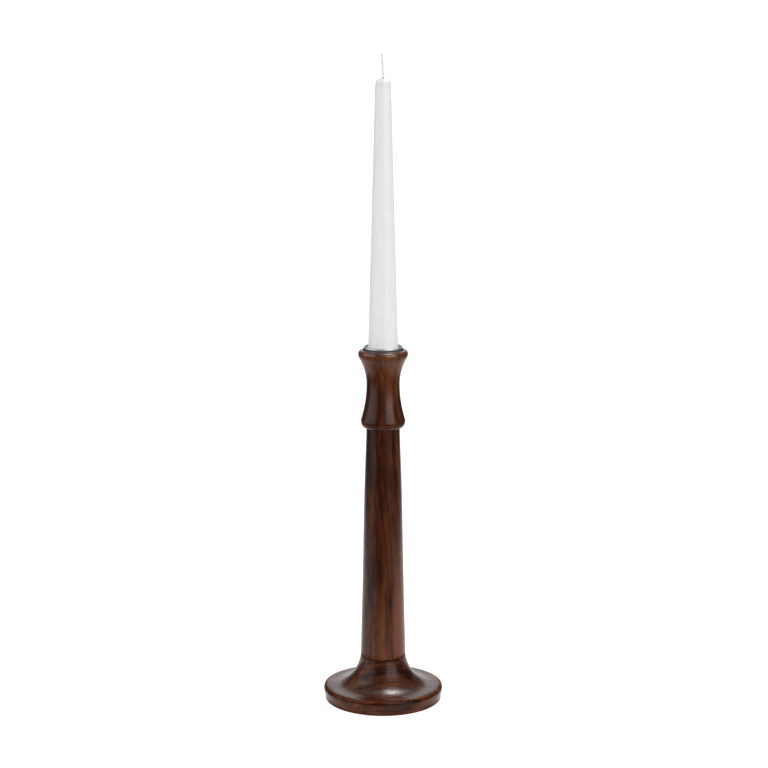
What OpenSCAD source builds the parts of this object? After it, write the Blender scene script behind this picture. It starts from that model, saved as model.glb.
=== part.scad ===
// Turned wooden candlestick with a metal candle cup and a taper candle.
// Millimetres. Z is up, the Z axis is the turning axis, and z = 0 is the face it stands on.

/* [Foot] */
// Widest diameter of the foot
foot_d = 88.8; // [84:0.2:94]
// Height of the top edge of the foot's side, where it is widest
foot_edge_h = 9.2; // [8:0.1:10]
// Height of the joint between foot and shaft
foot_h = 35; // [33:0.5:40]
// How far the side of the foot leans in towards the floor
foot_lean = 1.0; // [0.4:0.1:1.5]
// Height of the groove between the side and the shoulder
quirk_h = 0.9; // [0.6:0.1:1.2]
// Depth of that groove
quirk_deep = 0.8; // [0.4:0.1:1]
// Gap between the floor and the foot's wooden edge
foot_lift = 0.6; // [0.3:0.1:1]

/* [Shaft] */
// Diameter of the shaft where it meets the foot
shaft_low_d = 33.4; // [31:0.1:36]
// Diameter of the shaft just under the neck
shaft_high_d = 24.5; // [24:0.1:26]
// Radial swell of the upper half of the shaft
shaft_swell = 0.4; // [0:0.05:0.8]
// Length of the shaft between foot and neck, without its tenon
shaft_len = 172.8; // [150:0.2:190]

/* [Neck] */
// Height of the neck's wood, from the shaft to the rim
neck_h = 57.9; // [57:0.1:60]
// Diameter of the collar at the bottom of the neck
collar_d = 32.8; // [31:0.1:34]
// Diameter of the waist
waist_d = 24.4; // [24:0.1:26]
// Height of the waist above the bottom of the neck
waist_rise = 32.2; // [31:0.1:34]
// Widest diameter of the rim
rim_d = 36.6; // [36:0.1:38]

/* [Candle cup] */
// Inside diameter of the cup's straight part
cup_bore_d = 22.6; // [22.2:0.1:22.8]
// Outside diameter of the cup's lip
cup_lip_d = 28.4; // [28:0.1:29]
// How far the lip stands above the wood of the rim
cup_lip_proud = 2.6; // [2:0.1:3.2]
// Wall thickness of the cup
cup_wall = 0.5; // [0.4:0.05:0.6]
// Depth of the cup from the top of its lip to its floor
cup_depth = 15.6; // [14:0.2:16]

/* [Candle] */
// Diameter of the candle's butt
candle_d = 22; // [21:0.1:22]
// Diameter of the candle just below its rounded top
candle_tip_d = 11.4; // [10:0.1:13]
// Length of the candle without its wick
candle_len = 208; // [150:1:250]
// Length of wick standing above the wax
wick_show = 18; // [8:1:20]
// Diameter of the wick
wick_d = 1.8; // [1.4:0.1:2.2]

/* [Joinery] */
// Diameter of the tenon that the shaft has at its lower end
tenon_d = 16; // [14:0.5:18]
// Length of that tenon
tenon_len = 14; // [12:0.5:16]
// Diameter of the dowel between shaft and neck
dowel_d = 12; // [10:0.5:13]
// Length of the dowel
dowel_len = 36; // [30:1:38]
// Thread diameter of the screw that holds the foot
foot_screw_d = 6; // [5:0.5:7]
// Length of that screw under its head
foot_screw_len = 45; // [40:1:60]
// Thickness of the felt disc under the foot
felt_t = 2; // [1.5:0.1:3]
// Diameter of the felt disc
felt_d = 75; // [70:0.5:78]

/* [Hidden] */
$fn = 96;

// small gaps: glue line, and the candle's looseness in its cup
glue_gap = 0.05;
seat_gap = 0.1;

// levels along the axis
neck_z = foot_h + shaft_len;
waist_z = neck_z + waist_rise;
rim_z = neck_z + neck_h;
lip_z = rim_z + cup_lip_proud;
cup_floor_z = lip_z - cup_depth;
cup_floor_t = 1.2;
candle_z = cup_floor_z + seat_gap;
candle_top_z = candle_z + candle_len;
wick_z = candle_z + 2;
wick_top_z = candle_top_z + wick_show;

// foot
foot_r = foot_d / 2;
cove_start_r = shaft_low_d / 2 - 0.1;
brim_r = foot_r * 0.878;
brim_z = foot_edge_h + 2.4;
foot_bottom_r = foot_r - foot_lean - 1.2;
felt_recess_z = felt_t;
felt_recess_r = felt_d / 2 + 0.2;
head_recess_r = 10.5;
head_recess_z = 9;
mortise_z = foot_h - tenon_len - 0.5;

// screw under the foot, with its head against the washer
washer_r = 9;
washer_t = 1.6;
screw_head_flats = 10;
screw_head_h = 4;
screw_head_z = head_recess_z - washer_t;
screw_end_z = screw_head_z + foot_screw_len;
screw_point = 5;

// neck
waist_r = waist_d / 2;
collar_r = collar_d / 2;
rim_r = rim_d / 2;
flare_r = 39.5;
skirt_r = 86;
skirt_drop = 25.6;
flare_rise = 20;
rim_inner_r = 14.9;
rebate_z = rim_z - 1.7;
cup_r = cup_bore_d / 2 + cup_wall;
cup_hole_r = cup_r + glue_gap;
cup_hole_z = cup_floor_z - cup_floor_t;
dowel_hole_deep = dowel_len / 2 + 1;

// cup and its screw
lip_r = cup_lip_d / 2;
lip_wall = 1.0;
lip_tuck = 0.9;
lip_base_z = rebate_z;
mouth_r = lip_r - lip_wall;
mouth_z = lip_z - 4.2;
cup_screw_r = 1.5;
cup_screw_head_r = 2.9;
cup_screw_head_h = 1.1;
cup_screw_len = 12;

// candle
candle_r = candle_d / 2;
butt_z = candle_z + 12;
tip_r = candle_tip_d / 2;
tip_round_h = 5;

// points of an arc about centre c, from angle a0 to a1 in n steps
function arc_points(c, r, a0, a1, n) =
    [for (i = [0:n]) let (a = a0 + (a1 - a0) * i / n) [c[0] + r * cos(a), c[1] + r * sin(a)]];

// points of a cubic curve from a to d, pulled towards b and c, in n steps
function curve_points(a, b, c, d, n) =
    [for (i = [0:n]) let (t = i / n, s = 1 - t)
        s * s * s * a + 3 * s * s * t * b + 3 * s * t * t * c + t * t * t * d];

// radius of the shaft at share u of its length: a straight taper with a soft swell
function shaft_r(u) =
    shaft_low_d / 2 + (shaft_high_d - shaft_low_d) / 2 * u + shaft_swell * pow(sin(180 * u * u), 2);

// radius of the neck at a distance h from the waist, on a hollow curve of radius r
function hollow_r(h, r) = waist_r + r - sqrt(r * r - h * h);

// Outline of the foot: rolled lower edge, side, groove, flat brim with a rounded edge, then a long cove.
function foot_outline() = concat(
    [[0, foot_lift]],
    arc_points([foot_bottom_r, foot_lift + 1.2], 1.2, -90, -8, 5),
    curve_points([foot_r - foot_lean, foot_lift + 2.6], [foot_r - foot_lean, foot_edge_h - 4],
                 [foot_r, foot_edge_h - 2.4], [foot_r, foot_edge_h], 5),
    [[foot_r - quirk_deep, foot_edge_h + quirk_h * 0.4],
     [foot_r - quirk_deep, foot_edge_h + quirk_h * 0.6]],
    curve_points([foot_r - 0.2, foot_edge_h + quirk_h], [foot_r - 0.6, foot_edge_h + 1.9],
                 [foot_r - 2.4, brim_z], [brim_r, brim_z], 8),
    curve_points([brim_r - 0.6, brim_z], [brim_r - 10.5, brim_z - 0.3],
                 [cove_start_r + 1.8, foot_h - 14.5], [cove_start_r, foot_h], 20),
    [[0, foot_h]]);

// Outline of the neck: collar with a rounded lower edge, waist, flare, and a rounded rim.
function neck_outline() = concat(
    [[0, neck_z]],
    curve_points([collar_r - 3.6, neck_z], [collar_r - 0.9, neck_z],
                 [collar_r + 0.6, neck_z + 4], [hollow_r(skirt_drop, skirt_r), waist_z - skirt_drop], 9),
    [for (i = [1:8]) let (h = skirt_drop * (1 - i / 8)) [hollow_r(h, skirt_r), waist_z - h]],
    [for (i = [1:8]) let (h = flare_rise * i / 8) [hollow_r(h, flare_r), waist_z + h]],
    curve_points([rim_r - 0.25, rim_z - 4.4], [rim_r + 0.15, rim_z - 3.2],
                 [rim_r - 0.1, rim_z - 1], [rim_r - 1.6, rim_z - 0.4], 9),
    [[rim_inner_r + 0.4, rim_z], [0, rim_z]]);

// Outline of the cup: a thin pressed cup with a flared mouth and a stout lip, tucked in below.
function cup_outline() = concat(
    [[0, cup_hole_z], [cup_r - 0.6, cup_hole_z], [cup_r, cup_hole_z + 0.6], [cup_r, lip_base_z],
     [lip_r - lip_tuck - 0.3, lip_base_z], [lip_r - lip_tuck, lip_base_z + 0.3]],
    curve_points([lip_r - lip_tuck, lip_base_z + 1.5], [lip_r - lip_tuck + 0.05, lip_base_z + 2.5],
                 [lip_r, lip_base_z + 2.3], [lip_r, lip_base_z + 3.2], 6),
    arc_points([lip_r - lip_wall / 2, lip_z - lip_wall / 2], lip_wall / 2, 0, 180, 10),
    curve_points([mouth_r, lip_z - 1], [mouth_r - 0.1, lip_z - 2.8],
                 [cup_bore_d / 2, lip_z - 2.4], [cup_bore_d / 2, mouth_z], 8),
    [[cup_bore_d / 2, cup_floor_z], [0, cup_floor_z]]);

// Outline of the candle: straight butt, long straight taper, and a rounded top.
function candle_outline() = concat(
    [[0, candle_z], [candle_r - 0.6, candle_z], [candle_r, candle_z + 0.6], [candle_r, butt_z],
     [tip_r, candle_top_z - tip_round_h]],
    curve_points([tip_r - 0.02, candle_top_z - tip_round_h + 0.6], [tip_r - 0.3, candle_top_z - 1.4],
                 [tip_r - 1.4, candle_top_z], [tip_r * 0.45, candle_top_z], 8),
    [[0, candle_top_z]]);

module felt_pad() {
    color("#2b2a28")
    cylinder(d = felt_d, h = felt_t);
}

module foot() {
    color("#5a3524")
    difference() {
        rotate_extrude()
        polygon(foot_outline());
        // recess for the felt disc
        translate([0, 0, foot_lift - 1])
        cylinder(r = felt_recess_r, h = felt_recess_z - foot_lift + 1);
        // counterbore for the washer and the screw's head
        cylinder(r = head_recess_r, h = head_recess_z);
        // clearance hole for the screw
        cylinder(d = foot_screw_d + 0.6, h = foot_h);
        // mortise for the shaft's tenon
        translate([0, 0, mortise_z])
        cylinder(d = tenon_d + 2 * glue_gap, h = tenon_len + 1);
    }
}

module foot_washer() {
    color("#8f8f8a")
    translate([0, 0, screw_head_z])
    difference() {
        cylinder(r = washer_r, h = washer_t);
        translate([0, 0, -1])
        cylinder(d = foot_screw_d + 0.5, h = washer_t + 2);
    }
}

module foot_screw() {
    color("#9a9a95")
    union() {
        // hexagonal head
        translate([0, 0, screw_head_z - screw_head_h])
        cylinder(d = screw_head_flats / cos(30), h = screw_head_h, $fn = 6);
        // shank, drawn at the thread's outside diameter
        translate([0, 0, screw_head_z - 0.5])
        cylinder(d = foot_screw_d, h = foot_screw_len - screw_point + 0.5);
        // point
        translate([0, 0, screw_end_z - screw_point])
        cylinder(d1 = foot_screw_d, d2 = 1, h = screw_point);
    }
}

module shaft() {
    color("#5e3726")
    difference() {
        union() {
            rotate_extrude()
            polygon(concat([[0, foot_h]],
                           [for (i = [0:24]) let (u = i / 24) [shaft_r(u), foot_h + shaft_len * u]],
                           [[0, neck_z]]));
            // tenon
            translate([0, 0, foot_h - tenon_len])
            cylinder(d = tenon_d, h = tenon_len + 1);
        }
        // pilot hole for the foot's screw
        translate([0, 0, foot_h - tenon_len - 1])
        cylinder(d = foot_screw_d + 2 * glue_gap, h = screw_end_z - foot_h + tenon_len + 2);
        // blind hole for the dowel
        translate([0, 0, neck_z - dowel_hole_deep])
        cylinder(d = dowel_d + 2 * glue_gap, h = dowel_hole_deep + 1);
    }
}

module neck_dowel() {
    color("#c9a877")
    translate([0, 0, neck_z - dowel_len / 2])
    union() {
        cylinder(d1 = dowel_d - 2, d2 = dowel_d, h = 1);
        translate([0, 0, 1])
        cylinder(d = dowel_d, h = dowel_len - 2);
        translate([0, 0, dowel_len - 1])
        cylinder(d1 = dowel_d, d2 = dowel_d - 2, h = 1);
    }
}

module neck() {
    color("#633b29")
    difference() {
        rotate_extrude()
        polygon(neck_outline());
        // blind hole for the dowel
        translate([0, 0, neck_z - 1])
        cylinder(d = dowel_d + 2 * glue_gap, h = dowel_hole_deep + 1);
        // hole for the candle cup
        translate([0, 0, cup_hole_z])
        cylinder(r = cup_hole_r, h = cup_depth);
        // rebate that the cup's lip stands in
        translate([0, 0, rebate_z])
        cylinder(r = rim_inner_r, h = 5);
        // pilot hole for the cup's screw
        translate([0, 0, cup_floor_z - cup_screw_len - 0.5])
        cylinder(r = cup_screw_r + glue_gap, h = cup_screw_len);
    }
}

module candle_cup() {
    color("#8b8d8f")
    difference() {
        rotate_extrude()
        polygon(cup_outline());
        // screw hole, countersunk
        translate([0, 0, cup_hole_z - 1])
        cylinder(r = cup_screw_r + 0.1, h = cup_floor_t + 2);
        translate([0, 0, cup_floor_z - cup_screw_head_h])
        cylinder(r1 = cup_screw_r + 0.1, r2 = cup_screw_head_r + 0.2, h = cup_screw_head_h + 0.01);
    }
}

module cup_screw() {
    color("#a5a5a0")
    union() {
        translate([0, 0, cup_floor_z - cup_screw_head_h])
        difference() {
            cylinder(r1 = cup_screw_r, r2 = cup_screw_head_r, h = cup_screw_head_h - 0.1);
            // slot
            translate([-cup_screw_head_r, -0.35, cup_screw_head_h - 0.6])
            cube([2 * cup_screw_head_r, 0.7, 1]);
        }
        translate([0, 0, cup_floor_z - cup_screw_len + 2.5])
        cylinder(r = cup_screw_r, h = cup_screw_len - 3.3);
        translate([0, 0, cup_floor_z - cup_screw_len])
        cylinder(r1 = 0.3, r2 = cup_screw_r, h = 2.5);
    }
}

module candle() {
    color("#eceae6")
    difference() {
        rotate_extrude()
        polygon(candle_outline());
        translate([0, 0, wick_z])
        cylinder(d = wick_d + 2 * glue_gap, h = candle_len);
    }
}

module wick() {
    color("#f4f2ee")
    translate([0, 0, wick_z])
    cylinder(d = wick_d, h = wick_top_z - wick_z);
}

felt_pad();
foot();
foot_washer();
foot_screw();
shaft();
neck_dowel();
neck();
candle_cup();
cup_screw();
candle();
wick();
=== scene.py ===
import math
import bpy
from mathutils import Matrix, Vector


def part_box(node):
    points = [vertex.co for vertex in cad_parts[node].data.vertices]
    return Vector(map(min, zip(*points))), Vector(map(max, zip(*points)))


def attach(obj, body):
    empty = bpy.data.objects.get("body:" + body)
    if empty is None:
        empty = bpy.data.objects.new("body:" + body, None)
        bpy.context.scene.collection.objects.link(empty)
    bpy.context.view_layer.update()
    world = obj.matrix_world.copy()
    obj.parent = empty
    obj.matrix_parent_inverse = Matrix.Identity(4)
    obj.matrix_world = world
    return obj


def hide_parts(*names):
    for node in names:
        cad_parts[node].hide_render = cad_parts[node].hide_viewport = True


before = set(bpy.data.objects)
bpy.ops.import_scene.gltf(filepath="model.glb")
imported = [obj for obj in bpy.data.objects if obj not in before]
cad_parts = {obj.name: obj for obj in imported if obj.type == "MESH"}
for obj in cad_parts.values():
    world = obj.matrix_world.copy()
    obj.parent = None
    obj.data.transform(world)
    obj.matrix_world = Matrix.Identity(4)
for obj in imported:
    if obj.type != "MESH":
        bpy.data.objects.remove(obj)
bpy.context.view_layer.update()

mm = 0.001
fullTurn = 2 * math.pi
quarterTurn = math.pi / 2
scene = bpy.context.scene
scene.view_settings.view_transform = "Standard"
print("frame loaded:", ", ".join(sorted(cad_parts)))


# small helpers

def deselectAll():
    if bpy.context.object and bpy.context.object.mode != "OBJECT":
        bpy.ops.object.mode_set(mode="OBJECT")
    bpy.ops.object.select_all(action="DESELECT")


def reach(node):
    # lowest and highest z and the widest radius of a node, in millimetres
    low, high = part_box(node)
    return low.z / mm, high.z / mm, high.x / mm


def arc(centre, radius, start, end, count):
    # points of a round stretch, angles in degrees
    angles = [math.radians(start + (end - start) * i / count) for i in range(count + 1)]
    return [(centre[0] + radius * math.cos(a), centre[1] + radius * math.sin(a)) for a in angles]


def sweepCurve(a, b, c, d, count):
    # points of a smooth curve from a to d, pulled towards b and c
    points = []
    for i in range(count + 1):
        t = i / count
        s = 1 - t
        points.append(tuple(s**3 * a[k] + 3 * s * s * t * b[k] + 3 * s * t * t * c[k] + t**3 * d[k]
                            for k in (0, 1)))
    return points


def turnOnLathe(name, outline, steps, closed=False):
    # one point is extruded along the outline (radius, height in mm), then spun round the Z axis
    deselectAll()
    bpy.ops.mesh.primitive_plane_add(size=mm, location=(0, 0, 0))
    piece = bpy.context.object
    piece.name = name
    piece.data.name = name
    bpy.ops.object.mode_set(mode="EDIT")
    bpy.ops.mesh.select_mode(type="VERT")
    bpy.ops.mesh.select_all(action="SELECT")
    bpy.ops.mesh.merge(type="CENTER")
    bpy.ops.transform.translate(value=(outline[0][0] * mm, 0, outline[0][1] * mm))
    path = outline + outline[:1] if closed else outline
    for here, there in zip(path, path[1:]):
        step = ((there[0] - here[0]) * mm, 0, (there[1] - here[1]) * mm)
        bpy.ops.mesh.extrude_vertices_move(TRANSFORM_OT_translate={"value": step})
    bpy.ops.mesh.select_all(action="SELECT")
    bpy.ops.mesh.remove_doubles(threshold=0.002 * mm)
    bpy.ops.mesh.spin(steps=steps, angle=fullTurn, center=(0, 0, 0), axis=(0, 0, 1))
    bpy.ops.mesh.select_all(action="SELECT")
    bpy.ops.mesh.remove_doubles(threshold=0.004 * mm)
    bpy.ops.mesh.normals_make_consistent(inside=False)
    bpy.ops.object.mode_set(mode="OBJECT")
    return piece


def applyModifier(piece, kind, **settings):
    deselectAll()
    piece.select_set(True)
    bpy.context.view_layer.objects.active = piece
    modifier = piece.modifiers.new(kind.lower(), kind)
    for key, value in settings.items():
        setattr(modifier, key, value)
    bpy.ops.object.modifier_apply(modifier=modifier.name)


def easeEdges(piece, width, segments=2):
    applyModifier(piece, "BEVEL", width=width * mm, segments=segments, limit_method="ANGLE",
                  angle_limit=math.radians(32), use_clamp_overlap=True)


def handFinish(piece, amount, size):
    # tiny hollows and swells that sanding leaves, so that the gloss isn't perfectly even
    clouds = bpy.data.textures.new(piece.name + "Clouds", "CLOUDS")
    clouds.noise_scale = size * mm
    clouds.noise_depth = 1
    applyModifier(piece, "DISPLACE", texture=clouds, texture_coords="LOCAL", direction="NORMAL",
                  mid_level=0.5, strength=amount * mm)


def shadeSmooth(piece, angle=38):
    deselectAll()
    piece.select_set(True)
    bpy.context.view_layer.objects.active = piece
    bpy.ops.object.shade_smooth_by_angle(angle=math.radians(angle))


def markRings(piece, name, rings, width):
    # the attribute is 1 on each ring (radius, height in mm) and fades out over width: "wear" is where hands
    # and cloths rub, the groove and cup-rebate mark is painted shade that darkens the wood, "polish" is
    # where the lacquer is glossiest, the candle's top mark is painted shade that greys the wax
    mark = piece.data.attributes.new(name, "FLOAT", "POINT")
    values = []
    for v in piece.data.vertices:
        r = math.hypot(v.co.x, v.co.y) / mm
        z = v.co.z / mm
        near = min(math.hypot(r - ring[0], z - ring[1]) for ring in rings)
        values.append(max(0.0, 1 - near / width))
    mark.data.foreach_set("value", values)


# levels that the pieces share, in millimetres, all from the frame

footLow, footTop, footRadius = reach("foot")
shaftLow, shaftTop, shaftRadius = reach("shaft")
neckLow, neckTop = reach("neck")[:2]
cupLow, cupTop, cupRadius = reach("candle_cup")
candleLow, candleTop, candleRadius = reach("candle")
wickLow, wickTop = reach("wick")[:2]
feltLow, feltTop, feltRadius = reach("felt_pad")
dowelLow, dowelTop, dowelRadius = reach("neck_dowel")
boltTop = reach("foot_screw")[1]
cupScrewLow = reach("cup_screw")[0]


# the foot

foot = {
    "steps": 160,
    "lift": footLow,
    "edge": 9.2,
    "lean": 1.0,
    "grooveHeight": 0.9,
    "grooveDepth": 0.8,
    "brimShare": 0.878,
    "brimRise": 2.4,
    "brimPull": 10.5,
    "coveStart": shaftRadius - 0.1,
    "covePull": 14.5,
    "baseRound": 1.2,
    "feltRecess": 0.2,
    "headRecessRadius": 10.5,
    "headRecessTop": 9,
    "screwHoleRadius": 3.3,
    "mortiseRadius": 8.05,
    "mortiseDepth": 14.5,
    "edgeEase": 0.18,
    "unevenness": (0.09, 22),
    "wearWidth": 1.6,
    "paintedShadeWidth": 0.5,
    "polishOut": 14.4,
    "polishRise": 3.8,
    "polishWidth": 12,
}


def buildFoot():
    f = foot
    r = footRadius
    edge = f["edge"]
    brimR = r * f["brimShare"]
    brimZ = edge + f["brimRise"]
    coveR = f["coveStart"]
    outline = [(f["screwHoleRadius"], f["headRecessTop"]), (f["headRecessRadius"], f["headRecessTop"]),
               (f["headRecessRadius"], feltTop), (feltRadius + f["feltRecess"], feltTop),
               (feltRadius + f["feltRecess"], f["lift"])]
    base = f["baseRound"]
    outline += arc((r - f["lean"] - base, f["lift"] + base), base, -90, -8, 8)
    outline += sweepCurve((r - f["lean"], f["lift"] + 2.6), (r - f["lean"], edge - 4),
                          (r, edge - 2.4), (r, edge), 10)
    outline += [(r - f["grooveDepth"], edge + f["grooveHeight"] * 0.4),
                (r - f["grooveDepth"], edge + f["grooveHeight"] * 0.6)]
    outline += sweepCurve((r - 0.2, edge + f["grooveHeight"]), (r - 0.6, edge + 1.9),
                          (r - 2.4, brimZ), (brimR, brimZ), 14)
    outline += sweepCurve((brimR - 0.6, brimZ), (brimR - f["brimPull"], brimZ - 0.3),
                          (coveR + 1.8, footTop - f["covePull"]), (coveR, footTop), 44)
    outline += [(f["mortiseRadius"], footTop), (f["mortiseRadius"], footTop - f["mortiseDepth"]),
                (f["screwHoleRadius"], footTop - f["mortiseDepth"])]
    piece = turnOnLathe("turnedFoot", outline, f["steps"], closed=True)
    easeEdges(piece, f["edgeEase"])
    handFinish(piece, *f["unevenness"])
    rubbed = [(r - 1.5, edge + 2), (r - f["lean"], f["lift"] + 0.4), (coveR, footTop)]
    markRings(piece, "wear", rubbed, f["wearWidth"])
    # painted shade: the groove under the brim is darkened in colour
    markRings(piece, "paintedShade", [(r - f["grooveDepth"], edge + f["grooveHeight"] * 0.5)], f["paintedShadeWidth"])
    markRings(piece, "polish", [(coveR + f["polishOut"], edge + f["polishRise"])], f["polishWidth"])
    shadeSmooth(piece)
    return piece


# the shaft

shaft = {
    "steps": 128,
    "highRadius": 12.25,
    "swell": 0.4,
    "rings": 60,
    "tenonRadius": 8,
    "tenonTop": footTop,
    "pilotRadius": 3.05,
    "pilotTop": boltTop + 1,
    "dowelHoleRadius": dowelRadius + 0.05,
    "dowelHoleLow": dowelLow - 1,
    "endRound": 0.45,
    "unevenness": (0.1, 26),
    "wearWidth": 1.8,
}


def buildShaft():
    s = shaft
    length = shaftTop - s["tenonTop"]
    outline = [(0, s["pilotTop"]), (s["pilotRadius"], s["pilotTop"]), (s["pilotRadius"], shaftLow),
               (s["tenonRadius"], shaftLow), (s["tenonRadius"], s["tenonTop"])]
    e = s["endRound"]
    outline += arc((shaftRadius - e, s["tenonTop"] + e), e, -90, 0, 4)
    for i in range(1, s["rings"]):
        u = i / s["rings"]
        radius = shaftRadius + (s["highRadius"] - shaftRadius) * u
        radius += s["swell"] * math.sin(math.pi * u * u) ** 2
        outline.append((radius, s["tenonTop"] + length * u))
    outline += arc((s["highRadius"] - e, shaftTop - e), e, 0, 90, 4)
    outline += [(s["dowelHoleRadius"], shaftTop), (s["dowelHoleRadius"], s["dowelHoleLow"]),
                (0, s["dowelHoleLow"])]
    piece = turnOnLathe("turnedShaft", outline, s["steps"])
    handFinish(piece, *s["unevenness"])
    rubbed = [(shaftRadius, s["tenonTop"] + e), (s["highRadius"], shaftTop)]
    markRings(piece, "wear", rubbed, s["wearWidth"])
    shadeSmooth(piece)
    return piece


# the neck

neck = {
    "steps": 128,
    "collarRadius": 16.4,
    "waistRadius": 12.2,
    "waistRise": 32.2,
    "rimRadius": 18.3,
    "skirtRound": 86,
    "skirtDrop": 25.6,
    "flareRound": 39.5,
    "flareRise": 20,
    "rimInner": 14.9,
    "rebate": 1.7,
    "cupHoleRadius": 11.85,
    "dowelHoleRadius": dowelRadius + 0.05,
    "pilotRadius": 1.55,
    "curveRings": 14,
    "edgeEase": 0.2,
    "unevenness": (0.08, 18),
    "wearWidth": 2.2,
    "paintedShadeWidth": 1.8,
    "polishWidth": 2.6,
}


def hollowRadius(distance, roundness):
    # radius at a distance from the waist, on a hollow curve
    return neck["waistRadius"] + roundness - math.sqrt(roundness**2 - distance**2)


def buildNeck():
    n = neck
    waist = neckLow + n["waistRise"]
    drop = n["skirtDrop"]
    collar = n["collarRadius"]
    rim = n["rimRadius"]
    outline = [(0, dowelTop + 1), (n["dowelHoleRadius"], dowelTop + 1), (n["dowelHoleRadius"], neckLow)]
    outline += sweepCurve((collar - 3.6, neckLow), (collar - 0.9, neckLow), (collar + 0.6, neckLow + 4),
                          (hollowRadius(drop, n["skirtRound"]), waist - drop), 16)
    for i in range(1, n["curveRings"] + 1):
        h = drop * (1 - i / n["curveRings"])
        outline.append((hollowRadius(h, n["skirtRound"]), waist - h))
    for i in range(1, n["curveRings"] + 1):
        h = n["flareRise"] * i / n["curveRings"]
        outline.append((hollowRadius(h, n["flareRound"]), waist + h))
    outline += sweepCurve((rim - 0.25, neckTop - 4.4), (rim + 0.15, neckTop - 3.2),
                          (rim - 0.1, neckTop - 1), (rim - 1.6, neckTop - 0.4), 18)
    outline.append((n["rimInner"] + 0.4, neckTop))
    outline += [(n["rimInner"], neckTop), (n["rimInner"], neckTop - n["rebate"]),
                (n["cupHoleRadius"], neckTop - n["rebate"]), (n["cupHoleRadius"], cupLow),
                (n["pilotRadius"], cupLow), (n["pilotRadius"], cupScrewLow - 0.5), (0, cupScrewLow - 0.5)]
    piece = turnOnLathe("turnedNeck", outline, n["steps"])
    easeEdges(piece, n["edgeEase"])
    handFinish(piece, *n["unevenness"])
    rubbed = [(rim, neckTop - 3.6), (n["rimInner"] + 1.4, neckTop), (collar, neckLow + 3.4)]
    markRings(piece, "wear", rubbed, n["wearWidth"])
    # painted shade: the wood's inner edge and the rebate floor round the cup are darkened in colour
    rimShadeRings = [(n["rimInner"], neckTop - 0.4), (n["cupHoleRadius"] + 1.5, neckTop - n["rebate"])]
    markRings(piece, "paintedShade", rimShadeRings, n["paintedShadeWidth"])
    markRings(piece, "polish", [(rim - 1.2, neckTop - 0.8)], n["polishWidth"])
    shadeSmooth(piece)
    return piece


# the metal cup

cup = {
    "steps": 128,
    "boreRadius": 11.3,
    "wall": 0.5,
    "lipWall": 1.0,
    "tuck": 0.9,
    "lipBase": neckTop - neck["rebate"],
    "floor": 1.2,
    "screwHole": 1.6,
    "countersink": 3.1,
    "countersinkDepth": 1.1,
    "floorEase": 0.6,
    "edgeEase": 0.06,
}


def buildCup():
    c = cup
    outer = c["boreRadius"] + c["wall"]
    lip = cupRadius
    mouth = lip - c["lipWall"]
    half = c["lipWall"] / 2
    floorTop = cupLow + c["floor"]
    base = c["lipBase"]
    tucked = lip - c["tuck"]
    ease = c["floorEase"]
    outline = [(c["screwHole"], cupLow), (outer - ease, cupLow), (outer, cupLow + ease), (outer, base),
               (tucked - 0.3, base), (tucked, base + 0.3)]
    outline += sweepCurve((tucked, base + 1.5), (tucked + 0.05, base + 2.5),
                          (lip, base + 2.3), (lip, base + 3.2), 14)
    outline += arc((lip - half, cupTop - half), half, 0, 180, 14)
    outline += sweepCurve((mouth, cupTop - 1), (mouth - 0.1, cupTop - 2.8),
                          (c["boreRadius"], cupTop - 2.4), (c["boreRadius"], cupTop - 4.2), 14)
    outline += [(c["boreRadius"], floorTop), (c["countersink"], floorTop),
                (c["screwHole"], floorTop - c["countersinkDepth"])]
    piece = turnOnLathe("candleCup", outline, c["steps"], closed=True)
    easeEdges(piece, c["edgeEase"])
    shadeSmooth(piece, 30)
    return piece


# the candle

candle = {
    "steps": 96,
    "butt": 12,
    "tipRadius": 5.7,
    "tipRound": 5,
    "buttEase": 0.6,
    "wickHole": 0.95,
    "waxCollar": 0.9,
    "rings": 70,
    "unevenness": (0.16, 30),
    "paintedTopShadeWidth": 9,
}


def buildCandle():
    c = candle
    tip = c["tipRadius"]
    shoulder = candleTop - c["tipRound"]
    buttTop = candleLow + c["butt"]
    outline = [(0, candleLow + 0.2), (candleRadius * 0.5, candleLow + 0.1), (candleRadius - 0.9, candleLow)]
    outline += arc((candleRadius - c["buttEase"], candleLow + c["buttEase"]), c["buttEase"], -80, 0, 5)
    outline.append((candleRadius, buttTop))
    for i in range(1, c["rings"] + 1):
        u = i / c["rings"]
        outline.append((candleRadius + (tip - candleRadius) * u, buttTop + (shoulder - buttTop) * u))
    outline += sweepCurve((tip - 0.02, shoulder + 0.6), (tip - 0.3, candleTop - 1.4),
                          (tip - 1.4, candleTop), (tip * 0.45, candleTop - 0.05), 12)
    # the wax climbs the wick a little
    outline += sweepCurve((tip * 0.4, candleTop - 0.05), (1.3, candleTop - 0.1), (1.15, candleTop + 0.1),
                          (c["wickHole"] + 0.02, candleTop + c["waxCollar"]), 6)
    outline += [(c["wickHole"], candleTop + c["waxCollar"] - 0.2), (c["wickHole"], wickLow), (0, wickLow)]
    piece = turnOnLathe("taperCandle", outline, c["steps"])
    handFinish(piece, *c["unevenness"])
    # painted shade: the top of the candle round the wick is marked for greying
    markRings(piece, "paintedTopShade", [(0, candleTop + 0.3)], c["paintedTopShadeWidth"])
    shadeSmooth(piece, 50)
    return piece


# the wick: three cotton strands laid together, waxed stiff

wick = {
    "strands": 3,
    "sides": 8,
    "strandRadius": 0.56,
    "layRadius": 0.44,
    "hiddenStep": 4.0,
    "shownStep": 0.42,
    "twistPerMm": 58,
    "lean": -1.1,
    "frayLength": 3.0,
    "fray": 0.32,
    "stagger": 0.15,
    "endShrink": 0.6,
    "unevenness": (0.12, 1.1),
}


def wickCentre(z):
    # the shown end bends a little to the left
    rise = max(0.0, (z - candleTop) / (wickTop - candleTop))
    return wick["lean"] * rise**2


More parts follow.
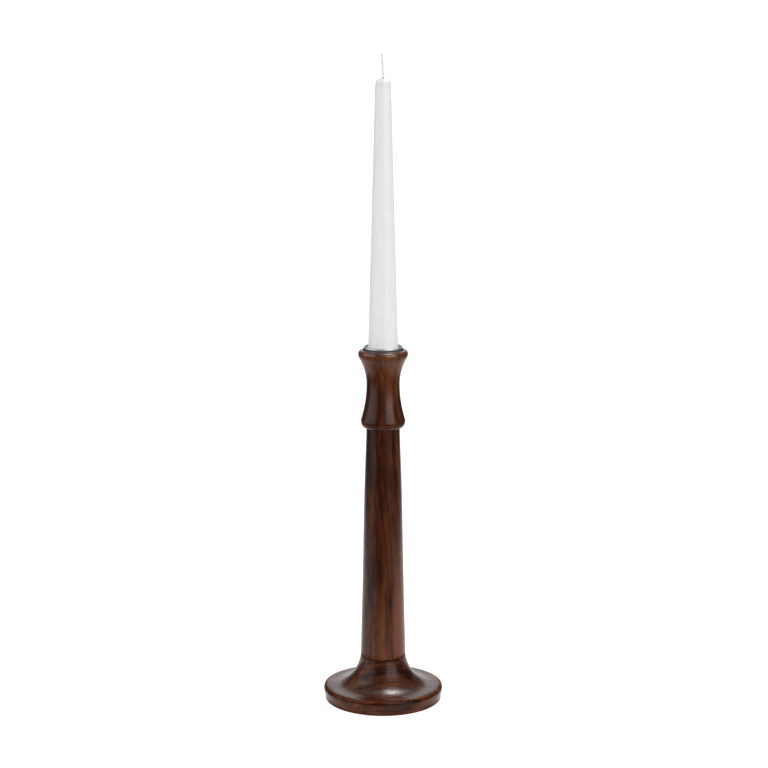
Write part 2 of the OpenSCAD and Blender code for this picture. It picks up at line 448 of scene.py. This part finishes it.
def buildStrand(index):
    w = wick
    deselectAll()
    bpy.ops.mesh.primitive_circle_add(vertices=w["sides"], radius=w["strandRadius"] * mm, fill_type="NGON",
                                      location=(0, 0, 0))
    strand = bpy.context.object
    bpy.ops.object.mode_set(mode="EDIT")
    bpy.ops.mesh.select_all(action="SELECT")
    phase = fullTurn * index / w["strands"]
    start = wickLow + 0.1
    bpy.ops.transform.translate(value=(w["layRadius"] * mm * math.cos(phase),
                                       w["layRadius"] * mm * math.sin(phase), start * mm))
    z = start
    end = wickTop - w["stagger"] * (index + 1)
    while z < end - 0.05:
        step = w["hiddenStep"] if z < candleTop - 6 else w["shownStep"]
        step = min(step, end - z)
        shift = wickCentre(z + step) - wickCentre(z)
        spread = 0.0
        if z > end - w["frayLength"]:
            spread = w["fray"] * step / w["frayLength"]
        z += step
        twist = math.radians(w["twistPerMm"] * w["shownStep"])
        phase -= twist
        move = ((shift + spread * math.cos(phase)) * mm, spread * math.sin(phase) * mm, step * mm)
        bpy.ops.mesh.extrude_region_move(TRANSFORM_OT_translate={"value": move})
        bpy.ops.transform.rotate(value=twist, orient_axis="Z",
                                 center_override=(wickCentre(z) * mm, 0, z * mm))
    bpy.ops.transform.resize(value=(w["endShrink"], w["endShrink"], 1))
    bpy.ops.mesh.select_all(action="SELECT")
    bpy.ops.mesh.normals_make_consistent(inside=False)
    bpy.ops.object.mode_set(mode="OBJECT")
    return strand


def buildWick():
    strands = [buildStrand(i) for i in range(wick["strands"])]
    deselectAll()
    for strand in strands:
        strand.select_set(True)
    bpy.context.view_layer.objects.active = strands[0]
    bpy.ops.object.join()
    piece = bpy.context.object
    piece.name = "cottonWick"
    piece.data.name = "cottonWick"
    handFinish(piece, *wick["unevenness"])
    shadeSmooth(piece, 60)
    return piece


# the felt under the foot

felt = {
    "rim": 0.35,
    "thickness": feltTop - feltLow,
    "sides": 128,
    "rings": 18,
    "nap": 0.1,
    "tuftSize": 3.2,
}


def buildFelt():
    f = felt
    deselectAll()
    bpy.ops.mesh.primitive_cylinder_add(vertices=f["sides"], radius=feltRadius * mm,
                                        depth=f["thickness"] * mm, location=(0, 0, 0))
    piece = bpy.context.object
    piece.name = "feltDisc"
    piece.data.name = "feltDisc"
    bpy.ops.object.mode_set(mode="EDIT")
    bpy.ops.mesh.select_all(action="SELECT")
    bpy.ops.transform.translate(value=(0, 0, (feltLow + f["thickness"] / 2) * mm))
    bpy.ops.object.mode_set(mode="OBJECT")
    easeEdges(piece, f["rim"], 3)
    for level in (1, -1):
        bpy.ops.object.mode_set(mode="EDIT")
        bpy.ops.mesh.select_mode(type="FACE")
        bpy.ops.mesh.select_all(action="DESELECT")
        bpy.ops.object.mode_set(mode="OBJECT")
        for face in piece.data.polygons:
            face.select = face.normal.z * level > 0.99
        bpy.ops.object.mode_set(mode="EDIT")
        # even rings let the flat faces carry the nap
        gap = (feltRadius - f["rim"]) / (f["rings"] + 1)
        for ring in range(f["rings"]):
            bpy.ops.mesh.inset(thickness=gap * mm, depth=0)
        bpy.ops.object.mode_set(mode="OBJECT")
    clouds = bpy.data.textures.new("feltClouds", "CLOUDS")
    clouds.noise_scale = f["tuftSize"] * mm
    applyModifier(piece, "DISPLACE", texture=clouds, texture_coords="LOCAL", direction="NORMAL",
                  mid_level=1.0, strength=f["nap"] * mm)
    shadeSmooth(piece, 45)
    return piece


# materials

class Nodes:
    # a short way to add nodes to one material and link them
    def __init__(self, name):
        self.material = bpy.data.materials.new(name)
        self.material.use_nodes = True
        self.tree = self.material.node_tree
        self.shader = self.tree.nodes["Principled BSDF"]

    def add(self, kind, inputs=None, **settings):
        node = self.tree.nodes.new(kind)
        for key, value in settings.items():
            setattr(node, key, value)
        for key, value in (inputs or {}).items():
            if isinstance(value, bpy.types.NodeSocket):
                self.tree.links.new(value, node.inputs[key])
            else:
                node.inputs[key].default_value = value
        return node

    def math(self, operation, a, b=0.0, c=0.0, clamp=False):
        return self.add("ShaderNodeMath", {0: a, 1: b, 2: c}, operation=operation,
                        use_clamp=clamp).outputs[0]

    def place(self, size, turn=(0, 0, 0), shift=(0, 0, 0)):
        # size is how long one unit of the pattern is along its own three axes, in mm
        where = self.add("ShaderNodeTexCoord").outputs["Object"]
        inputs = {"Vector": where, "Location": [mm * s for s in shift], "Rotation": turn,
                  "Scale": [mm * s for s in size]}
        return self.add("ShaderNodeMapping", inputs, vector_type="TEXTURE").outputs[0]

    def noise(self, place, detail=3.0, rough=0.5, distort=0.0):
        return self.add("ShaderNodeTexNoise", {"Vector": place, "Scale": 1.0, "Detail": detail,
                                               "Roughness": rough, "Distortion": distort}).outputs["Fac"]

    def ramp(self, factor, stops):
        node = self.add("ShaderNodeValToRGB", {"Fac": factor})
        ends = node.color_ramp.elements
        while len(ends) < len(stops):
            ends.new(0.5)
        for end, (position, colour) in zip(ends, stops):
            end.position = position
            end.color = (*colour, 1)
        return node.outputs["Color"]

    def mix(self, factor, a, b, blend="MIX"):
        node = self.add("ShaderNodeMix", data_type="RGBA", blend_type=blend)
        for socket, value in ((node.inputs[0], factor), (node.inputs[6], a), (node.inputs[7], b)):
            if isinstance(value, bpy.types.NodeSocket):
                self.tree.links.new(value, socket)
            else:
                socket.default_value = value
        return node.outputs[2]

    def bump(self, height, distance, strength=1.0, normal=None):
        inputs = {"Height": height, "Distance": distance * mm, "Strength": strength}
        if normal is not None:
            inputs["Normal"] = normal
        return self.add("ShaderNodeBump", inputs).outputs[0]

    def finish(self, **sockets):
        for key, value in sockets.items():
            socket = self.shader.inputs[key.replace("_", " ")]
            if isinstance(value, bpy.types.NodeSocket):
                self.tree.links.new(value, socket)
            else:
                socket.default_value = value
        return self.material


walnut = {
    "deep": (0.0070, 0.0022, 0.0015),
    "dark": (0.026, 0.0062, 0.0028),
    "middle": (0.064, 0.0195, 0.0067),
    "light": (0.125, 0.046, 0.0150),
    "red": (1.0, 0.78, 0.88),
    "worn": (0.20, 0.095, 0.042),
    "ringWidth": 3.4,
    "ringSway": 16.0,
    "ringWeight": 0.55,
    "darkness": 1.2,
    "smearCover": 0.6,
    "poreCover": 0.5,
    "wornCover": 0.55,
    "paintedShadeCover": 0.8,
    "roughness": 0.15,
    "hazeRoughness": 0.18,
    "poreRoughness": 0.16,
    "rubRoughness": 0.1,
    "polishRoughness": 0.06,
    "polishGloss": 0.75,
    "wearGloss": 0.2,
    "turningPitch": 7.1,
}


def woodMaterial(name, turn, pith, lighten=(0, 1, 0), paintedSideLight=0.0, shine=0.2):
    # turn lays the grain, which runs along the pattern's own Z; pith is where the tree's middle was, in mm;
    # lighten is a height in mm, the length over which the colour gets lighter below it (above it if the
    # length is negative), and by how much; the argument after it is painted light, each mm towards the
    # right, the side the key lamp lights, being made that much lighter; shine is the gloss away from the
    # polished rings
    n = Nodes(name)
    w = walnut
    sway = n.noise(n.place((30, 30, 120), turn, pith), detail=2.0)
    across = n.add("ShaderNodeSeparateXYZ", {0: n.place((1, 1, 1), turn, pith)})
    radius = n.math("SQRT", n.math("ADD", n.math("MULTIPLY", across.outputs[0], across.outputs[0]),
                                   n.math("MULTIPLY", across.outputs[1], across.outputs[1])))
    ring = n.math("DIVIDE", n.math("ADD", radius, n.math("MULTIPLY", sway, w["ringSway"])), w["ringWidth"])
    rings = n.add("ShaderNodeTexNoise", {"W": ring, "Scale": 1.0, "Detail": 3.0, "Roughness": 0.6},
                  noise_dimensions="1D").outputs["Fac"]
    broad = n.noise(n.place((11, 11, 85), turn, pith), detail=2.0, rough=0.5, distort=0.5)
    streaks = n.noise(n.place((3.6, 3.6, 60), turn, pith), detail=3.0, rough=0.6, distort=0.3)
    fibres = n.noise(n.place((0.5, 0.5, 14), turn, pith), detail=3.0, rough=0.6)
    pores = n.noise(n.place((0.55, 0.55, 7), turn, pith), detail=1.5, rough=0.5)
    blotch = n.noise(n.place((14, 14, 20)), detail=3.0, rough=0.6, distort=0.6)
    tone = n.math("MULTIPLY", rings, w["ringWeight"])
    for part, weight in ((broad, 1.15), (streaks, 0.95), (fibres, 0.22), (blotch, 0.45)):
        tone = n.math("ADD", tone, n.math("MULTIPLY", part, weight))
    where = n.add("ShaderNodeSeparateXYZ", {0: n.place((1, 1, 1))}).outputs
    # the colour gets lighter with height, below or above the given level
    heightLift = n.math("DIVIDE", n.math("SUBTRACT", lighten[0], where[2]), lighten[1], clamp=True)
    tone = n.math("ADD", tone, n.math("MULTIPLY", heightLift, lighten[2]))
    # painted light: the wood gets lighter towards the right, the side the key lamp lights
    tone = n.math("ADD", tone, n.math("MULTIPLY", where[0], paintedSideLight))
    tone = n.math("SUBTRACT", tone, w["darkness"], clamp=True)
    colour = n.ramp(tone, [(0.12, w["deep"]), (0.34, w["dark"]), (0.60, w["middle"]), (0.95, w["light"])])
    reddish = n.ramp(n.noise(n.place((22, 22, 55), turn, [p - 70 for p in pith]), detail=2.0),
                     [(0.40, (0, 0, 0)), (0.62, (1, 1, 1))])
    colour = n.mix(reddish, colour, (*w["red"], 1), "MULTIPLY")
    smear = n.noise(n.place((5, 5, 70), turn, [p + 40 for p in pith]), detail=3.0, rough=0.65, distort=0.9)
    smear = n.ramp(smear, [(0.56, (0, 0, 0)), (0.74, (1, 1, 1))])
    colour = n.mix(n.math("MULTIPLY", smear, w["smearCover"]), colour, (*w["deep"], 1))
    poreMask = n.ramp(pores, [(0.60, (0, 0, 0)), (0.72, (1, 1, 1))])
    colour = n.mix(n.math("MULTIPLY", poreMask, w["poreCover"]), colour, (*w["deep"], 1))
    wear = n.add("ShaderNodeAttribute", attribute_name="wear").outputs["Fac"]
    rub = n.math("MULTIPLY", wear, n.noise(n.place((2.4, 2.4, 2.4)), detail=4.0, rough=0.65), clamp=True)
    rub = n.ramp(rub, [(0.30, (0, 0, 0)), (0.66, (1, 1, 1))])
    colour = n.mix(n.math("MULTIPLY", rub, w["wornCover"]), colour, (*w["worn"], 1))
    # painted shade: rings marked in grooves and round the cup are darkened towards the deepest colour
    paintedShade = n.add("ShaderNodeAttribute", attribute_name="paintedShade").outputs["Fac"]
    colour = n.mix(n.math("MULTIPLY", paintedShade, w["paintedShadeCover"]), colour, (*w["deep"], 1))
    haze = n.noise(n.place((14, 14, 22)), detail=3.0, rough=0.6)
    rough = n.math("MULTIPLY", haze, w["hazeRoughness"])
    rough = n.math("ADD", rough, w["roughness"])
    rough = n.math("ADD", rough, n.math("MULTIPLY", poreMask, w["poreRoughness"]))
    rough = n.math("ADD", rough, n.math("MULTIPLY", rub, w["rubRoughness"]))
    polish = n.add("ShaderNodeAttribute", attribute_name="polish").outputs["Fac"]
    gloss = n.math("ADD", n.math("MULTIPLY", polish, w["polishGloss"]), shine)
    gloss = n.math("SUBTRACT", gloss, n.math("MULTIPLY", wear, w["wearGloss"]), clamp=True)
    rough = n.math("ADD", rough, n.math("MULTIPLY", polish, w["polishRoughness"]))
    out = n.math("SQRT", n.math("ADD", n.math("MULTIPLY", where[0], where[0]),
                                n.math("MULTIPLY", where[1], where[1])))
    turning = n.math("SINE", n.math("MULTIPLY", n.math("ADD", out, where[2]), w["turningPitch"]))
    normal = n.bump(turning, 0.004, 0.35)
    normal = n.bump(fibres, 0.03, 0.5, normal)
    normal = n.bump(poreMask, -0.04, 0.7, normal)
    return n.finish(Base_Color=colour, Roughness=rough, Normal=normal, Specular_IOR_Level=gloss)


def metalMaterial(name, light, dark, roughness, lines):
    # lines is how fine the marks left by spinning and polishing are
    n = Nodes(name)
    spun = n.noise(n.place((30, 30, lines)), detail=3.0, rough=0.6)
    smudge = n.noise(n.place((6, 6, 6)), detail=4.0, rough=0.6)
    colour = n.ramp(n.math("ADD", n.math("MULTIPLY", spun, 0.6), n.math("MULTIPLY", smudge, 0.4)),
                    [(0.3, dark), (0.7, light)])
    rough = n.math("MULTIPLY_ADD", smudge, 0.22, roughness)
    normal = n.bump(spun, 0.01, 0.6)
    return n.finish(Base_Color=colour, Metallic=1.0, Roughness=rough, Normal=normal)


def waxMaterial():
    n = Nodes("candleWax")
    drawn = n.noise(n.place((2.4, 2.4, 70)), detail=3.0, rough=0.55)
    bloom = n.noise(n.place((11, 11, 16)), detail=4.0, rough=0.6)
    tone = n.math("ADD", n.math("MULTIPLY", drawn, 0.5), n.math("MULTIPLY", bloom, 0.5))
    colour = n.ramp(tone, [(0.32, (0.84, 0.84, 0.832)), (0.68, (0.90, 0.90, 0.892))])
    # painted shade: the marked top of the candle is greyed in colour
    paintedTopShade = n.add("ShaderNodeAttribute", attribute_name="paintedTopShade").outputs["Fac"]
    colour = n.mix(n.math("MULTIPLY", paintedTopShade, 0.9), colour, (0.48, 0.478, 0.465, 1))
    rough = n.math("MULTIPLY_ADD", bloom, 0.25, 0.30)
    pits = n.noise(n.place((1.1, 1.1, 1.4)), detail=3.0, rough=0.6)
    normal = n.bump(drawn, 0.06, 0.5)
    normal = n.bump(pits, 0.02, 0.5, normal)
    return n.finish(Base_Color=colour, Roughness=rough, Normal=normal, IOR=1.44, Subsurface_Weight=0.35,
                    Subsurface_Radius=(0.9, 0.8, 0.65), Subsurface_Scale=0.004)


def cottonMaterial():
    n = Nodes("waxedCotton")
    hairs = n.noise(n.place((0.4, 0.4, 1.1)), detail=3.0, rough=0.6)
    colour = n.ramp(hairs, [(0.3, (0.84, 0.838, 0.825)), (0.7, (0.94, 0.94, 0.93))])
    normal = n.bump(hairs, 0.05, 0.6)
    return n.finish(Base_Color=colour, Roughness=0.62, Normal=normal, Sheen_Weight=0.2)


def feltMaterial():
    n = Nodes("woolFelt")
    tufts = n.noise(n.place((1.4, 1.4, 1.4)), detail=5.0, rough=0.75, distort=1.2)
    threads = n.noise(n.place((0.4, 0.7, 0.4)), detail=3.0, rough=0.7, distort=2.0)
    tone = n.math("ADD", n.math("MULTIPLY", tufts, 0.55), n.math("MULTIPLY", threads, 0.45))
    colour = n.ramp(tone, [(0.35, (0.016, 0.015, 0.014)), (0.7, (0.062, 0.058, 0.053))])
    normal = n.bump(tone, 0.35, 0.9)
    return n.finish(Base_Color=colour, Roughness=0.95, Normal=normal, Sheen_Weight=0.35, Sheen_Roughness=0.5)


def dowelMaterial():
    n = Nodes("beechDowel")
    fibres = n.noise(n.place((0.6, 0.6, 16)), detail=4.0, rough=0.6)
    flecks = n.noise(n.place((1.1, 1.1, 4)), detail=2.0, rough=0.5)
    colour = n.ramp(fibres, [(0.3, (0.40, 0.25, 0.12)), (0.7, (0.64, 0.45, 0.25))])
    fleckMask = n.ramp(flecks, [(0.6, (0, 0, 0)), (0.68, (0.6, 0.6, 0.6))])
    colour = n.mix(fleckMask, colour, (0.28, 0.15, 0.07, 1))
    return n.finish(Base_Color=colour, Roughness=0.7, Normal=n.bump(fibres, 0.05, 0.6))


def paint(piece, material):
    piece.data.materials.clear()
    piece.data.materials.append(material)


# build everything, give it its finish and join it to the frame

shaftWood = woodMaterial("shaftWood", (0.03, -0.05, 0.4), (41, 34, 75), (170, 110, 0.20), 0.012)
neckWood = woodMaterial("neckWood", (-0.02, 0.04, 1.9), (-34, 41, 120), (212, -40, 0.26), 0.004, 0.18)
footWood = woodMaterial("footWood", (0.0, quarterTurn, 0.25), (14, -38, -46), (20, 16, 0.06), 0.001, 0.14)
cupMetal = metalMaterial("cupMetal", (0.68, 0.68, 0.675), (0.47, 0.475, 0.48), 0.38, 0.19)
zincSteel = metalMaterial("zincSteel", (0.62, 0.62, 0.60), (0.42, 0.42, 0.41), 0.30, 1.1)
wax = waxMaterial()
cotton = cottonMaterial()
woolFelt = feltMaterial()
beech = dowelMaterial()
print("materials made")

for name, build, material, body, node, slot in (
        ("foot", buildFoot, footWood, "stick", "foot", "stained_wood"),
        ("shaft", buildShaft, shaftWood, "stick", "shaft", "stained_wood"),
        ("neck", buildNeck, neckWood, "stick", "neck", "stained_wood"),
        ("cup", buildCup, cupMetal, "stick", "candle_cup", "cup_metal"),
        ("felt", buildFelt, woolFelt, "stick", "felt_pad", "felt"),
        ("candle", buildCandle, wax, "taper", "candle", "wax"),
        ("wick", buildWick, cotton, "taper", "wick", "cotton")):
    piece = build()
    paint(piece, material)
    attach(piece, body)
    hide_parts(node)
    print("built", name, len(piece.data.polygons), "faces")

for node in ("foot_washer", "foot_screw", "cup_screw"):
    paint(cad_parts[node], zincSteel)
paint(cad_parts["neck_dowel"], beech)
print("inner pieces finished")


# the camera stands a little above the wick's tip and looks a little down

view = {
    "sideways": 0.00065,
    "distance": 1.441,
    "height": 0.515,
    "down": 10.8,
    "lens": 94.1,
    "sensor": 36,
    "near": 0.05,
    "far": 60,
}

deselectAll()
bpy.ops.object.camera_add(location=(view["sideways"], -view["distance"], view["height"]),
                          rotation=(math.radians(90 - view["down"]), 0, 0))
camera = bpy.context.object
camera.name = "camera"
camera.data.sensor_width = view["sensor"]
camera.data.lens = view["lens"]
camera.data.clip_start = view["near"]
camera.data.clip_end = view["far"]
scene.camera = camera


# white studio: a glowing table with a backdrop, dark all round, soft lights at both sides and overhead

studio = {
    "tableWidth": 1.0,
    "tableFront": -0.2,
    "tableBack": 1.5,
    "backdropHeight": 1.3,
    "paper": 0.15,
    "glow": 1.02,
    "sky": 0.08,
    "seenSky": 1.1,
    "lampAim": 0.15,
}
lamps = {
    "keyRight": {"azimuth": 40, "elevation": 22, "distance": 2.0, "size": (1.6, 1.7), "radiance": 4.2},
    "fillLeft": {"azimuth": -74, "elevation": 22, "distance": 2.0, "size": (2.4, 2.3), "radiance": 2.0},
    "overhead": {"azimuth": 155, "elevation": 76, "distance": 3.2, "size": (1.05, 1.05), "radiance": 24},
}


def addPaper(name, low, high):
    # a flat sheet of paper between two opposite corners
    deselectAll()
    bpy.ops.mesh.primitive_plane_add(size=1, location=(0, 0, 0))
    sheet = bpy.context.object
    sheet.name = name
    bpy.ops.object.mode_set(mode="EDIT")
    if high[2] > low[2]:
        bpy.ops.transform.rotate(value=quarterTurn, orient_axis="X", center_override=(0, 0, 0))
    size = [(b - a) or 1 for a, b in zip(low, high)]
    bpy.ops.transform.resize(value=size, center_override=(0, 0, 0))
    bpy.ops.transform.translate(value=[(a + b) / 2 for a, b in zip(low, high)])
    bpy.ops.object.mode_set(mode="OBJECT")
    n = Nodes(name)
    tone = n.noise(n.place((25, 25, 25)), detail=3.0)
    colour = n.ramp(tone, [(0.3, [0.98 * studio["paper"]] * 3), (0.7, [studio["paper"]] * 3)])
    paint(sheet, n.finish(Base_Color=colour, Roughness=0.9, Emission_Color=(1, 1, 1, 1),
                          Emission_Strength=studio["glow"]))


def addLamp(name, lamp):
    deselectAll()
    azimuth = math.radians(lamp["azimuth"])
    elevation = math.radians(lamp["elevation"])
    flat = lamp["distance"] * math.cos(elevation)
    place = (flat * math.sin(azimuth), -flat * math.cos(azimuth),
             studio["lampAim"] + lamp["distance"] * math.sin(elevation))
    bpy.ops.object.light_add(type="AREA", location=place,
                             rotation=(quarterTurn - elevation, 0, azimuth))
    light = bpy.context.object
    light.name = name
    light.data.shape = "RECTANGLE"
    light.data.size, light.data.size_y = lamp["size"]
    light.data.energy = lamp["radiance"] * math.pi * lamp["size"][0] * lamp["size"][1]
    light.visible_camera = False


half = studio["tableWidth"] / 2
addPaper("studioTable", (-half, studio["tableFront"], 0), (half, studio["tableBack"], 0))
addPaper("studioBackdrop", (-half, studio["tableBack"], 0),
         (half, studio["tableBack"], studio["backdropHeight"]))
for name, lamp in lamps.items():
    addLamp(name, lamp)
world = bpy.data.worlds.new("studioSky")
scene.world = world
world.use_nodes = True
sky = world.node_tree
dim = sky.nodes["Background"]
dim.inputs["Color"].default_value = (1, 1, 1, 1)
dim.inputs["Strength"].default_value = studio["sky"]
white = sky.nodes.new("ShaderNodeBackground")
white.inputs["Color"].default_value = (1, 1, 1, 1)
white.inputs["Strength"].default_value = studio["seenSky"]
# the room is dark round the object, and white to the eye
seen = sky.nodes.new("ShaderNodeLightPath")
blend = sky.nodes.new("ShaderNodeMixShader")
sky.links.new(seen.outputs["Is Camera Ray"], blend.inputs[0])
sky.links.new(dim.outputs[0], blend.inputs[1])
sky.links.new(white.outputs[0], blend.inputs[2])
sky.links.new(blend.outputs[0], sky.nodes["World Output"].inputs["Surface"])
print("studio ready")
